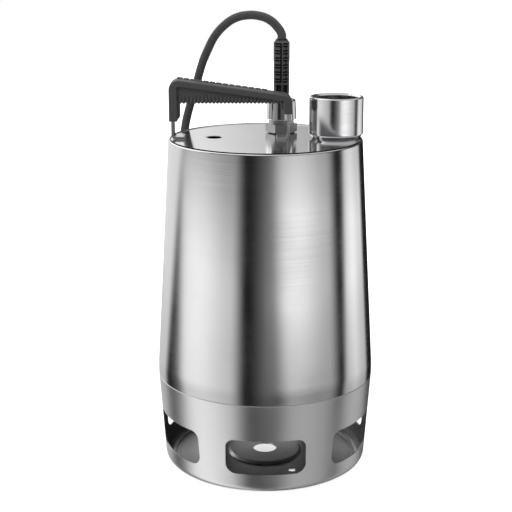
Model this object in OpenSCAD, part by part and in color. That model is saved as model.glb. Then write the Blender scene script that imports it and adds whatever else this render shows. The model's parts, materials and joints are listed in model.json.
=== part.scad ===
// Submersible sump pump: a tapered sleeve over a canned motor, a strainer below, a vortex impeller
// between them, and a discharge port, handle and cable entry on the top plate.
// Z is up along the pump's axis, X runs towards the discharge port, and the floor is at Z = 0.

/* [Sleeve and top plate] */
// Outer diameter at the joint of sleeve and strainer
body_d = 216; // [210:1:226]
// Height of the sleeve
sleeve_h = 236.6; // [234:0.2:250]
// How much the sleeve's radius narrows from bottom to top
sleeve_taper = 13.4; // [8:0.2:15]
// Thickness of the sleeve's sheet
sleeve_wall = 1.5; // [1.2:0.1:2]
// Height of the sleeve's straight band, below its cone
band_h = 10; // [8:1:16]
// Half length of the soft bend from the band to the cone
bend_len = 6; // [3:1:7]
// Radius of the sleeve's top edge
rim_r = 1.4; // [0.6:0.1:1.5]
// Thickness of the top plate
plate_t = 2; // [1.8:0.1:3]
// Depth of the top plate's turned-down skirt
skirt_h = 10; // [6:1:14]
// Width of the groove between plate and rim
rim_groove_w = 0.6; // [0.4:0.1:1.2]
// Depth of the groove between plate and rim
rim_groove_h = 1.2; // [0.6:0.1:1.4]

/* [Discharge port] */
// Outer diameter of the socket
port_d = 53; // [51:0.5:56]
// Height of the socket above the plate
port_h = 40; // [30:1:50]
// Bore of the socket's pipe thread
port_bore_d = 44.84; // [42:0.02:45]
// Width of the socket's foot bevel
port_foot_bevel = 3.3; // [1:0.1:3.4]
// Depth of the bevel that leads into the thread
port_lead_in = 2; // [1:0.5:4]
// Gap between the socket's foot and the plate's edge
port_inset = 0.2; // [0.1:0.1:3]
// Bearing of the port from the X axis
port_bearing = 5; // [0:1:12]

/* [Handle] */
// Thickness of the steel strap
strap_t = 2.5; // [2:0.1:3.5]
// Width of the steel strap
strap_w = 20; // [16:1:22]
// Gap between the strap's short leg and the socket
handle_port_gap = 18.6; // [14:0.2:30]
// Length of each welded foot
foot_len = 13; // [9:1:18]
// Height of the handle's high end above the plate
handle_h_high = 58.5; // [54:0.5:70]
// Height of the handle's low end above the plate
handle_h_low = 42.2; // [40:0.2:53]
// Gap between the strap's outer corners and the plate's edge
handle_inset = 0.9; // [0.5:0.1:4]
// Cover of the grip over the strap
grip_cover = 2; // [1.5:0.1:3]
// Width of the grip, front to back
grip_w = 24; // [23:0.5:26]
// Height of the grip above the plate on its long leg
grip_leg_gap_high = 18.5; // [14:0.5:24]
// Height of the grip above the plate on its short leg
grip_leg_gap_low = 25.5; // [20:0.5:28]
// Height of the web's toothed edge above the plate
web_gap = 35.5; // [33:0.5:36]
// Thickness of the web under the grip
web_w = 19; // [12:0.5:20]
// Spacing of the finger teeth under the web
tooth_pitch = 3.6; // [3:0.1:6]
// Height of the finger teeth
tooth_h = 1.1; // [0.5:0.1:1.6]
// Spacing of the ridges on the grip's back
ridge_pitch = 6.6; // [5:0.1:9]
// Height of the ridges on the grip's back
ridge_h = 1; // [0.5:0.1:1.5]

/* [Cable entry] */
// Place of the cable entry along X
entry_x = 16; // [10:1:22]
// Place of the cable entry along Y
entry_y = 35; // [32:1:44]
// Size of the connector's hexagon across its flats
hex_af = 27.6; // [26:0.2:30]
// Height of the hexagon
hex_h = 8; // [6:0.5:10]
// Turn of the hexagon
hex_turn = 6.6; // [0:0.2:30]
// Diameter of the collar above the hexagon
collar_d = 25; // [23.5:0.5:26]
// Height of the collar
collar_h = 4.6; // [3:0.2:7]
// Lower diameter of the union nut
nut_d_low = 30.3; // [29:0.1:32]
// Upper diameter of the union nut
nut_d_high = 28.3; // [26:0.1:29]
// Height of the union nut
nut_h = 20; // [18:0.5:24]
// Diameter of the thread under the union nut
union_d = 22; // [20.6:0.2:23]
// Diameter of the thread through the plate
spigot_d = 19.6; // [18.4:0.2:21]
// Diameter of the boot over its ribs
boot_d = 15; // [13.5:0.1:16]
// Diameter of the boot between its ribs
boot_core_d = 11.6; // [10.4:0.2:13]
// Height of the boot above the union nut
boot_h = 59; // [50:1:70]
// Plain length of the boot above the union nut
boot_plain_h = 15; // [8:1:18]
// Spacing of the boot's double ribs
rib_pitch = 6.9; // [5:0.1:9]
// Diameter of the vent's recess
vent_d = 13; // [12:0.2:14]
// Place of the vent along X
vent_x = -50; // [-56:1:-44]
// Place of the vent along Y
vent_y = 4; // [0:1:10]

/* [Strainer] */
// Height of the strainer
strainer_h = 92.5; // [90:0.5:110]
// Thickness of the strainer's sheet
strainer_wall = 1.5; // [1.2:0.1:2]
// How much the strainer's radius narrows towards the floor
strainer_lean = 6.5; // [3:0.5:8]
// Radius of the strainer's bottom edge
strainer_edge_r = 8; // [5:0.5:10]
// Number of suction windows
window_count = 6; // [4:1:7]
// Width of a suction window
window_w = 77; // [60:1:80]
// Height of a suction window, the largest solid that passes
window_h = 35.5; // [30:0.5:35.5]
// Height of the windows' lower edge above the floor
window_z = 20.5; // [14:0.5:21]
// Lower corner radius of the windows
window_r_low = 10; // [6:0.5:12]
// Upper corner radius of the windows
window_r_high = 8; // [5:0.5:12]
// Height of the base plate above its foot ring
foot_h = 0.8; // [0.5:0.1:1.4]
// Width of the foot ring
foot_ring_w = 4.7; // [3:0.1:7]
// Diameter of the raised disc in the base plate
base_disc_d = 74; // [60:1:80]
// Rise of that disc
base_disc_h = 2.4; // [1:0.1:4]
// Diameter of the hole in the middle of the base plate
base_hole_d = 24; // [16:1:30]
// Diameter of the fixing holes in the base plate
fixing_d = 7.7; // [5:0.1:10]
// Pitch circle of the fixing holes
fixing_circle_d = 114; // [100:1:130]

/* [Pump end] */
// Depth of the casing below its flange
casing_depth = 35.5; // [34:0.5:36]
// Wall of the casing
casing_wall = 3; // [2:0.5:4]
// Thickness of the casing's flange
flange_t = 4; // [3:0.5:6]
// Diameter of the suction eye
eye_d = 60; // [50:1:70]
// Number of casing screws
casing_screws_n = 6; // [4:1:8]
// Thread diameter of the casing screws
casing_screw_d = 5; // [4:0.5:5]
// Radial width of the bracket's ring
bracket_ring_w = 12.5; // [12:0.5:14]
// Height of the bracket's ring
bracket_ring_h = 20; // [16:1:22]
// Width of the bracket's spokes
spoke_w = 8; // [6:0.5:12]
// Thickness of the bracket's disc
bracket_t = 8; // [7:0.5:10]
// Diameter of the impeller
impeller_d = 115; // [100:1:125]
// Height of the impeller's vanes
vane_h = 12; // [8:0.5:14]
// Thickness of the impeller's vanes
vane_t = 4; // [3:0.5:6]
// Number of the impeller's vanes
vane_count = 6; // [4:1:8]
// Thickness of the impeller's disc
impeller_disc_t = 3; // [2:0.5:4]
// Diameter of the impeller's hub
impeller_hub_d = 30; // [26:1:34]

/* [Motor] */
// Outer diameter of the motor can
can_d = 140; // [136:1:146]
// Wall of the motor can
can_wall = 1; // [0.8:0.1:1.5]
// Depth of the oil chamber, from the bracket to the bearing plate
oil_chamber_h = 31; // [29:0.5:34]
// Thickness of the bearing plate and of the upper bearing shield
shield_t = 6; // [5:0.5:7]
// Length of the stator's stack
stack_h = 65; // [55:1:66]
// Bore of the stator
stator_bore_d = 68; // [66:1:72]
// Number of slots in the stator
slot_count = 24; // [12:12:24]
// Depth of a slot
slot_depth = 15; // [10:0.5:17]
// Width of a slot
slot_w = 5; // [4:0.2:6]
// Air gap between rotor and stator
air_gap = 0.6; // [0.4:0.1:1]
// Height of the winding heads above and below the stack
winding_head_h = 11; // [8:0.5:12]
// Height of the compartment above the upper shield
head_room_h = 31; // [30:0.5:34]
// Thickness of the motor's cover
cover_t = 4; // [3:0.5:5]
// Diameter of the capacitor
capacitor_d = 28; // [20:1:29]
// Length of the capacitor
capacitor_len = 62; // [50:1:70]
// Shaft diameter in the impeller
shaft_d_impeller = 16; // [14:0.5:17]
// Shaft diameter in the seal
shaft_d_seal = 20; // [18:0.5:22]
// Shaft diameter in the rotor
shaft_d_rotor = 28; // [26:1:32]
// Outer diameter of the impeller nut's thread
nut_thread_d = 12; // [10:1:12]

/* [Bearings] */
// Bore of the lower bearing
low_bearing_bore = 25; // [25:1:26]
// Outer diameter of the lower bearing
low_bearing_d = 52; // [50:1:54]
// Width of the lower bearing
low_bearing_w = 15; // [14:0.5:16]
// Bore of the upper bearing
up_bearing_bore = 20; // [18:1:22]
// Outer diameter of the upper bearing
up_bearing_d = 47; // [45:1:50]
// Width of the upper bearing
up_bearing_w = 14; // [12:0.5:14]
// Diameter of the balls
ball_d = 7.9; // [7:0.1:8]
// Number of balls in each bearing
ball_count = 9; // [7:1:9]

/* [Cable] */
// Diameter of the cable
cable_d = 8.5; // [7:0.1:8.6]
// Outer centreline radius of the coil
coil_r = 98; // [96:1:101]
// Distance from turn to turn and from layer to layer
coil_pitch = 9.1; // [9.1:0.1:9.4]
// Turns in each of the coil's four layers
layer_turns = 4.75; // [4:0.25:5]
// Thickness of the coil's ties
tie_t = 1.2; // [1:0.1:1.6]
// Width of the coil's ties
tie_w = 8; // [5:1:15]
// Diameter of the plug's face
plug_d = 38; // [35:1:42]
// Length of the plug's body
plug_len = 32; // [28:1:40]
// Length of the plug's cable sleeve
plug_sleeve_len = 22; // [18:1:26]
// Length of the plug's pins
pin_len = 19; // [15:1:22]
// Diameter of the plug's pins
pin_d = 4.8; // [4:0.1:6]

/* [Hidden] */
$fn = 96;

// clearances
seat_gap = 0.15;      // round seats that are pressed or welded
loose_gap = 0.3;      // round seats that come apart
shaft_gap = 0.05;     // bores on the shaft
joint_gap = 0.4;      // between the sleeve and the strainer

// how far shapes of one piece reach into each other, and cuts run past a face
overlap = 1;

// O-rings: section, and width and depth of their groove
o_ring_d = 1.7;
o_ring_w = 1.3 * o_ring_d;
o_ring_depth = 1.65;

// colours
brushed = "silver";
polished = "gainsboro";
satin = "darkgray";
black_plastic = "#333333";
rubber = "#262626";
copper = "peru";
iron = "#6f7276";

// levels and radii of the sleeve and plate
sleeve_z = strainer_h + joint_gap;
plate_z = sleeve_z + sleeve_h;
under_plate_z = plate_z - plate_t;
cone_z = sleeve_z + band_h;
sleeve_slope = sleeve_taper / (plate_z - cone_z);
function bend_drop(z) =
  abs(z - cone_z) < bend_len ? pow(z - cone_z + bend_len, 2) / (4 * bend_len) : max(z - cone_z, 0);
function sleeve_r(z) = body_d / 2 - sleeve_slope * bend_drop(z);
function sleeve_in_r(z) = sleeve_r(z) - sleeve_wall;
plate_r = sleeve_in_r(plate_z) - rim_groove_w;

// discharge port
port_foot_r = port_d / 2 - port_foot_bevel;
port_off = plate_r - port_foot_r - port_inset;
port_at = [port_off * cos(port_bearing), port_off * sin(port_bearing), plate_z];
port_foot_h = port_foot_bevel * 1.2;
port_foot_blend_r = 2;
port_lip_bevel = 1;

// handle, drawn in X and height
leg_x = -sqrt(pow(plate_r, 2) - pow(strap_w / 2, 2)) + handle_inset;
far_leg_x = port_at.x - port_d / 2 - handle_port_gap;
handle_span = far_leg_x - leg_x;
strap_bend_r = 4.5;
grip_bend_r = 9;
grip_end_r = 1;
grip_inner_r = 1.5;
web_leg_w = 2;
ridge_len = 8;
ridge_edge = 1;
ridge_root = 2.5;
bar_h = 2 * grip_cover + strap_t;
handle_fall = (handle_h_high - handle_h_low) / (handle_span + 2 * grip_cover);
function grip_top(x) = plate_z + handle_h_high - handle_fall * (x - leg_x + grip_cover);

// cable entry
connector_seal_t = 1;
hex_z = plate_z + connector_seal_t;
collar_z = hex_z + hex_h;
nut_z = collar_z + collar_h;
nut_top_z = nut_z + nut_h;
boot_top_z = nut_top_z + boot_h;
nut_gap = 0.1;
nut_lid_h = 3.5;
boot_flange_h = 3.5;
boot_tip_h = 3;
boot_tip_bevel = 2.4;
union_top_z = nut_top_z - nut_lid_h - boot_flange_h - loose_gap;
entry_bore_d = boot_d + 2 * loose_gap;
boot_tail_rise = 2;
boot_tail_z = hex_z + boot_tail_rise;
spigot_len = 11.5;
spigot_z = under_plate_z - spigot_len + plate_t;

// pump end, from the joint upwards
flange_rise = 0.6;
flange_z = sleeve_z + flange_rise;
flange_top_z = flange_z + flange_t;
casing_floor_z = flange_z - casing_depth;
ring_r = sleeve_in_r(flange_z) - bracket_ring_w;
casing_ring_gap = 3.5;
casing_r = ring_r - casing_ring_gap;
casing_bend_r = 14;
register_h = 9.5;
register_w = 2.8;
screw_edge = 1.4;
screw_ring_r = ring_r + casing_screw_d / 2 + screw_edge;
screw_head_h = 3.5;
screw_head_af = 1.6 * casing_screw_d;
screw_len = 14;
bracket_rise = 17.5;
bracket_z = flange_top_z + bracket_rise;
bracket_top_z = bracket_z + bracket_t;
spoke_count = 6;
spoke_h = 12;
spoke_root = 12;
bracket_edge = 1;
bracket_register_w = 8;
bracket_register_h = 6;
bracket_o_ring_z = bracket_top_z + bracket_register_h / 2;
seal_floor_t = 1;
shaft_hole_gap = 1.5;
impeller_gap = 2;
impeller_top_z = bracket_z - impeller_gap;
impeller_z = impeller_top_z - impeller_disc_t - vane_h;
washer_t = 1.5;
nut_height = 8;
shaft_tip = 1;
shaft_end_z = impeller_z - washer_t - nut_height - shaft_tip;
impeller_nut_af = 18;

// oil screw
oil_screw_r = 48;
oil_screw_d = 8;
oil_head_d = 12;
oil_head_h = 3;
oil_screw_socket = 5;
gasket_t = 0.8;

// strainer
strainer_slope = strainer_lean / strainer_h;
function strainer_r(z) = body_d / 2 - strainer_slope * (strainer_h - z);
function strainer_in_r(z) = strainer_r(z) - strainer_wall;
base_edge = 1;
base_r = strainer_r(foot_h) - strainer_edge_r - base_edge;
foot_ring_edge = 0.7;
foot_ring_r = base_r - foot_ring_edge;

// motor, from the bracket upwards
can_r = can_d / 2;
can_in_r = can_r - can_wall;
register_r = can_in_r - seat_gap;
bearing_plate_z = bracket_top_z + oil_chamber_h;
cup_floor_t = 2;
cup_lip = 1;
low_bearing_z = bearing_plate_z + cup_floor_t;
low_cup_top_z = low_bearing_z + low_bearing_w + cup_lip;
end_ring_h = 5;
axial_gap = 1;
stack_z = low_cup_top_z + axial_gap + end_ring_h;
stack_top_z = stack_z + stack_h;
tooth_tip_h = 4;
slot_mouth_w = 2;
slot_in_r = stator_bore_d / 2 + tooth_tip_h;
slot_out_r = slot_in_r + slot_depth;
winding_in_r = slot_in_r - 1;
winding_out_r = slot_out_r + 2;
winding_edge_r = 3;
end_ring_w = 12.5;
end_ring_step = 0.5;
rotor_r = stator_bore_d / 2 - air_gap;
up_bearing_z = stack_top_z + end_ring_h + axial_gap;
up_bearing_top_z = up_bearing_z + up_bearing_w;
shield_top_z = up_bearing_top_z + cup_floor_t;
shield_z = shield_top_z - shield_t;
cover_z = shield_top_z + head_room_h;
cover_top_z = cover_z + cover_t;
cup_wall = 3.5;
cover_register_h = 6;
cover_register_w = 3;
well_r = 15;
block_size = [34, 16, 14];
wire_d = 2.8;
wire_pitch = 4.2;
capacitor_off = 8;
capacitor_step = 3;
capacitor_step_in = 2;

// bearings
low_bearing = [low_bearing_bore, low_bearing_d, low_bearing_w];
up_bearing = [up_bearing_bore, up_bearing_d, up_bearing_w];
ball_gap = 0.12;
shoulder = 2.2;

// shaft seal
seal_bore_r = 16;
seal_ring_h = 7;
seal_spring_wire = 1.6;
seal_spring_h = 15;
seal_spring_turns = 4;
seal_z = bracket_top_z + shaft_gap;
seal_collar_z = seal_z + seal_ring_h + seal_spring_h + 2 * shaft_gap;
seal_collar_h = 3;
seal_r = 15;
seal_spring_r = seal_r - 1.5;
seal_spring_gap = (seal_spring_h - seal_spring_wire) / seal_spring_turns - seal_spring_wire;

// vent
vent_r = vent_d / 2;
vent_at = [vent_x, vent_y, plate_z];
vent_ball_r = 3.5;
vent_wall = 2.2;
vent_depth = 3;
vent_lid = 1.5;
vent_lift = 2.5;
vent_floor_t = 2;
vent_floor_hole_r = 2.4;
vent_cage_gap = 1.2;
vent_flange_t = 2;
vent_flange_w = 2;
vent_sink = 0.2;
vent_slot_w = 1.2;
vent_slot_r = 4.3;
vent_lid_z = -vent_depth - vent_lid;
vent_floor_z = vent_lid_z - 2 * vent_ball_r - vent_lift - loose_gap;
vent_seat_drop = vent_ball_r - sqrt(pow(vent_ball_r, 2) - pow(vent_floor_hole_r, 2));

// free cable, from the boot over the handle's far side and down behind the sleeve to the coil
cable_r = cable_d / 2;
lead_x = -98;
coil_at = [lead_x + coil_r, 216];
coil_z = cable_r + tie_t + loose_gap;
drop_route = [
  [entry_x, entry_y, boot_top_z], [entry_x, entry_y, boot_top_z + 4], [11.5, 35.5, 433.5],
  [3.5, 36.5, 440.5], [-6.5, 38, 444], [-18, 39.5, 444.5], [-30, 41, 441.5], [-41, 43, 434],
  [-50.5, 45.5, 423], [-57, 48, 410.5], [-62, 50, 399], [-65.5, 51.5, 388.5], [-68.5, 53, 378],
  [-75.5, 55.5, 355.5], [-81.5, 58, 331], [-83.5, 61, 305], [-85, 64, 280], [-86, 67, 255],
  [-86.5, 70, 230], [-87, 72.5, 205], [-87, 75, 180], [-87, 77, 155], [-87, 79, 130],
  [-87, 81, 105], [-87.5, 84, 80], [-88, 89, 58], [-89, 97, 38], [-91, 109, 22], [-93, 125, 11],
  [-95, 143, 6], [-96.5, 163, 5], [-98, 182, 5.5],
  [lead_x, coil_at.y - 2 * cable_d, coil_z], [lead_x, coil_at.y - cable_d, coil_z]
];

// coil: four piled layers that spiral in, out, in and out again
coil_layers = 4;
loop_rings = 24;
coil_loops = coil_layers * layer_turns;
coil_steps = round(coil_loops * loop_rings);
function spiral_in(t) = let (s = t % (2 * layer_turns)) s < layer_turns ? s : 2 * layer_turns - s;
function climb(x) = let (c = min(max(2 * x + 0.5, 0), 1)) c * c * (3 - 2 * c);
function layer_of(t) =
  climb(t - layer_turns) + climb(t - 2 * layer_turns) + climb(t - 3 * layer_turns);
function coil_point(t) =
  let (r = coil_r - coil_pitch * spiral_in(t), a = 180 - 360 * t)
  [coil_at.x + r * cos(a), coil_at.y + r * sin(a), coil_z + coil_pitch * layer_of(t)];
coil_body = [for (i = [0 : coil_steps]) coil_point(i / loop_rings)];
coil_start = [lead_x, coil_at.y - cable_d, coil_z];
coil_end = coil_point(coil_loops) + [0, cable_d, 0];
coil_line = [coil_start, each coil_body, coil_end];
coil_top_z = coil_z + (coil_layers - 1) * coil_pitch + cable_r;
coil_in_r = coil_r - layer_turns * coil_pitch - cable_r;
tie_angles = [15, 235];

// plug, lying on the coil, and the cable's tail that leads into it
plug_back = [-24, 290, coil_top_z + plug_d / 2 + 0.7];
tail_route = [
  coil_end, coil_end + [0, cable_r, 0], [-95.5, 239, 35.5], [-90, 252, 39], [-80, 266, 44],
  [-66, 278, 49.5], [-50, 286, 54], [-37, 289.5, 56.5], plug_back - [cable_r, 0, 0], plug_back
];

// least distance between turns that are over three quarters of a loop apart, less the cable
turn_apart = 0.75 * loop_rings;
coil_gap = min([
  for (i = [0 : coil_steps - turn_apart])
    min([for (j = [i + turn_apart : coil_steps]) norm(coil_body[i] - coil_body[j])])
]) - cable_d;
function path_length(p, i = 1) = i >= len(p) ? 0 : norm(p[i] - p[i - 1]) + path_length(p, i + 1);
echo(coil_gap = coil_gap, seal_spring_gap = seal_spring_gap);
echo(drop_length = path_length(drop_route), coil_length = path_length(coil_line),
     tail_length = path_length(tail_route));

// ---------- shared shapes ----------

function unit(v) = v / norm(v);

// points of an arc in a profile
function arc(centre, r, from, to, steps) =
  [for (i = [0 : steps]) let (a = from + (to - from) * i / steps) centre + r * [cos(a), sin(a)]];

// one corner of an outline, rounded to radius r
function corner(before, at, after, r, steps = 8) =
  r == 0 ? [at] :
  let (u = unit(before - at), v = unit(after - at), half = acos(u * v) / 2,
       centre = at + unit(u + v) * r / sin(half),
       first = at + u * r / tan(half) - centre, last = at + v * r / tan(half) - centre,
       from = atan2(first.y, first.x), turn = (atan2(last.y, last.x) - from + 540) % 360 - 180)
  arc(centre, r, from, from + turn, steps);

// an outline of [x, y, radius] corners
function outline(p) =
  let (n = len(p))
  [for (i = [0 : n - 1]) each corner(flat(p[(i + n - 1) % n]), flat(p[i]), flat(p[(i + 1) % n]), p[i][2])];
function flat(p) = [p[0], p[1]];

module ring(r_out, r_in, z0, z1) {
  rotate_extrude() translate([r_in, z0]) square([r_out - r_in, z1 - z0]);
}

module disc(r, z0, z1) {
  translate([0, 0, z0]) cylinder(r = r, h = z1 - z0);
}

module around(count, first = 0) {
  for (k = [0 : count - 1]) rotate(first + 360 * k / count) children();
}

module torus(r, section_r, z) {
  rotate_extrude() translate([r, z]) circle(r = section_r, $fn = 32);
}

// a round tube of few sides along the points of p
function directions(p) =
  [for (i = [0 : len(p) - 1]) unit(p[min(i + 1, len(p) - 1)] - p[max(i - 1, 0)])];
function squared(v, d) = unit(v - (v * d) * d);
function normals(d, first) =
  [for (i = 0, n = squared(first, d[0]); i < len(d); i = i + 1, n = i < len(d) ? squared(n, d[i]) : n) n];

module tube(p, r, sides, first) {
  d = directions(p);
  n = normals(d, first);
  rings = len(p);
  points = [for (i = [0 : rings - 1], j = [0 : sides - 1])
    let (a = 360 * j / sides) p[i] + r * (cos(a) * n[i] + sin(a) * cross(d[i], n[i]))];
  function at(i, j) = i * sides + j % sides;
  faces = [
    for (i = [0 : rings - 2], j = [0 : sides - 1])
      each [[at(i, j), at(i + 1, j), at(i + 1, j + 1)], [at(i, j), at(i + 1, j + 1), at(i, j + 1)]],
    for (j = [1 : sides - 2]) [at(0, 0), at(0, j), at(0, j + 1)],
    for (j = [1 : sides - 2]) [at(rings - 1, 0), at(rings - 1, j + 1), at(rings - 1, j)]
  ];
  polyhedron(points = points, faces = faces);
}

// ---------- sleeve and top plate ----------

function sleeve_levels() =
  [sleeve_z, for (i = [0 : 6]) cone_z - bend_len + i * bend_len / 3];

module outer_sleeve() {
  color(brushed)
  rotate_extrude() polygon([
    for (z = sleeve_levels()) [sleeve_r(z), z],
    each corner([sleeve_r(cone_z + bend_len), cone_z + bend_len], [sleeve_r(plate_z), plate_z],
                [sleeve_in_r(plate_z), plate_z], min(rim_r, 0.95 * sleeve_wall)),
    [sleeve_in_r(plate_z), plate_z],
    for (i = [7 : -1 : 0]) let (z = sleeve_levels()[i]) [sleeve_in_r(z), z]
  ]);
}

module top_plate() {
  groove_z = plate_z - rim_groove_h;
  skirt_z = plate_z - skirt_h;
  color(polished)
  difference() {
    rotate_extrude() polygon([
      [0, under_plate_z], [0, plate_z], [plate_r, plate_z], [plate_r, groove_z],
      [sleeve_in_r(groove_z) - seat_gap, groove_z], [sleeve_in_r(skirt_z) - seat_gap, skirt_z],
      [sleeve_in_r(skirt_z) - seat_gap - sleeve_wall, skirt_z],
      [sleeve_in_r(under_plate_z) - seat_gap - sleeve_wall, under_plate_z]
    ]);
    translate([port_at.x, port_at.y, skirt_z]) cylinder(d = port_bore_d, h = skirt_h + overlap);
    translate([entry_x, entry_y, skirt_z]) cylinder(d = spigot_d + 2 * loose_gap, h = skirt_h + overlap);
    translate([vent_x, vent_y, skirt_z]) cylinder(r = vent_r + vent_wall + seat_gap, h = skirt_h + overlap);
  }
}

module discharge_socket() {
  r = port_d / 2;
  bore_r = port_bore_d / 2;
  color(polished)
  translate(port_at) rotate_extrude() polygon([
    [bore_r, 0], [port_foot_r, 0], each corner([port_foot_r, 0], [r, port_foot_h], [r, port_h], port_foot_blend_r),
    [r, port_h - port_lip_bevel], [r - port_lip_bevel, port_h],
    [bore_r + port_lead_in * 0.7, port_h], [bore_r, port_h - port_lead_in]
  ]);
}

// ---------- handle ----------

// the strap's centre band, grown by g on every side
function strap_outline(g) =
  let (bend = grip_bend_r - grip_cover, inner = strap_t + g, foot_top_z = plate_z + inner,
       top = grip_top(leg_x) - grip_cover, far_top = grip_top(far_leg_x) - grip_cover) [
  [leg_x + foot_len, plate_z - g, 0],
  [leg_x - g, plate_z - g, strap_bend_r + g],
  [leg_x - g, top + g, bend + g],
  [far_leg_x + g, far_top + g, bend + g],
  [far_leg_x + g, plate_z - g, strap_bend_r + g],
  [far_leg_x - foot_len, plate_z - g, 0],
  [far_leg_x - foot_len, foot_top_z, 0],
  [far_leg_x - inner, foot_top_z, strap_bend_r - inner],
  [far_leg_x - inner, far_top - inner, bend - inner],
  [leg_x + inner, top - inner, bend - inner],
  [leg_x + inner, foot_top_z, strap_bend_r - inner],
  [leg_x + foot_len, foot_top_z, 0]
];

// an outline in X and height, made w deep about Y = 0
module upright(w) {
  rotate([90, 0, 0]) translate([0, 0, -w / 2]) linear_extrude(w) children();
}

module handle_strap() {
  color(polished) upright(strap_w) polygon(outline(strap_outline(0)));
}

module grip_bar() {
  left = leg_x - grip_cover;
  right = far_leg_x + grip_cover;
  in_left = left + bar_h;
  in_right = right - bar_h;
  upright(grip_w) polygon(outline([
    [left, plate_z + grip_leg_gap_high, grip_end_r], [left, grip_top(left), grip_bend_r],
    [right, grip_top(right), grip_bend_r], [right, plate_z + grip_leg_gap_low, grip_end_r],
    [in_right, plate_z + grip_leg_gap_low, grip_end_r],
    [in_right, grip_top(in_right) - bar_h, grip_inner_r],
    [in_left, grip_top(in_left) - bar_h, grip_inner_r],
    [in_left, plate_z + grip_leg_gap_high, grip_end_r]
  ]));
}

module grip_web() {
  left = leg_x - grip_cover + bar_h;
  right = far_leg_x + grip_cover - bar_h;
  teeth = floor((right - left) / tooth_pitch) - 1;
  first = (left + right - (teeth - 1) * tooth_pitch) / 2;
  edge_z = plate_z + web_gap;
  leg_z = plate_z + grip_leg_gap_high + 3 * grip_end_r;
  upright(web_w) difference() {
    polygon([
      [left - overlap, leg_z], [left + web_leg_w, leg_z], [left + web_leg_w, edge_z],
      [right + overlap, edge_z], [right + overlap, grip_top(right) - bar_h + overlap],
      [left - overlap, grip_top(left) - bar_h + overlap]
    ]);
    for (k = [0 : teeth]) translate([first + (k - 0.5) * tooth_pitch, edge_z])
      circle(r = tooth_h, $fn = 24);
  }
}

module grip_ridges() {
  from = leg_x + grip_bend_r;
  count = floor((handle_span - 2 * grip_bend_r) / ridge_pitch);
  for (k = [0 : count - 1]) let (x = from + k * ridge_pitch)
    translate([x, grip_w / 2 - ridge_edge - ridge_len, grip_top(x) - ridge_root])
      rotate([0, atan(handle_fall), 0]) cube([0.65 * ridge_pitch, ridge_len, ridge_root + ridge_h]);
}

module handle_grip() {
  color(black_plastic)
  difference() {
    union() {
      grip_bar();
      grip_web();
      grip_ridges();
    }
    upright(strap_w + 2 * seat_gap) polygon(outline(strap_outline(seat_gap)));
  }
}

// ---------- vent ----------

module vent_seat() {
  low_z = vent_floor_z - vent_floor_t;
  flange_low_z = -plate_t - vent_flange_t;
  out_r = vent_r + vent_wall;
  flange_r = out_r + vent_flange_w;
  cage_r = vent_ball_r + vent_cage_gap;
  color(polished)
  translate(vent_at) difference() {
    rotate_extrude() polygon([
      [vent_floor_hole_r, low_z], [out_r, low_z],
      [out_r, flange_low_z], [flange_r, flange_low_z], [flange_r, -plate_t], [out_r, -plate_t],
      [out_r, -vent_sink], [vent_r, -vent_sink], [vent_r, -vent_depth], [vent_floor_hole_r, -vent_depth],
      [vent_floor_hole_r, vent_lid_z], [cage_r, vent_lid_z], [cage_r, vent_floor_z],
      [vent_floor_hole_r, vent_floor_z]
    ]);
    for (a = [0 : 120 : 240]) rotate(a) translate([0, -vent_slot_w / 2, low_z - overlap])
      cube([vent_slot_r, vent_slot_w, vent_floor_t + 2 * overlap]);
  }
}

module vent_ball() {
  color(rubber)
  translate(vent_at + [0, 0, vent_floor_z + vent_ball_r - vent_seat_drop + loose_gap / 2])
    sphere(r = vent_ball_r);
}

// ---------- cable entry ----------

module at_entry(z) {
  translate([entry_x, entry_y, z]) children();
}

module connector_seal() {
  color(rubber) at_entry(plate_z) ring(hex_af / 2 - 0.8, spigot_d / 2 + loose_gap, 0, connector_seal_t);
}

module connector_body() {
  color(polished)
  at_entry(0) difference() {
    union() {
      rotate(hex_turn) translate([0, 0, hex_z]) intersection() {
        cylinder(d = hex_af / cos(30), h = hex_h, $fn = 6);
        cylinder(d1 = hex_af * 1.1, d2 = hex_af * 1.1 + 2.2 * hex_h, h = hex_h);
      }
      disc(collar_d / 2, collar_z - overlap, nut_z);
      disc(union_d / 2, nut_z - overlap, union_top_z);
      disc(spigot_d / 2, spigot_z, hex_z + overlap);
    }
    translate([0, 0, spigot_z - overlap])
      cylinder(d = entry_bore_d, h = union_top_z - spigot_z + 2 * overlap);
  }
}

module union_nut() {
  low_r = nut_d_low / 2;
  high_r = nut_d_high / 2;
  in_r = union_d / 2 + seat_gap;
  hole_r = boot_d / 2 + seat_gap;
  color(polished)
  at_entry(nut_z) rotate_extrude() polygon(outline([
    [in_r, nut_gap, 0], [low_r, nut_gap, 0.8], [high_r, nut_h, 2], [hole_r, nut_h, 0],
    [hole_r, nut_h - nut_lid_h, 0], [in_r, nut_h - nut_lid_h, 0]
  ]));
}

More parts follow.
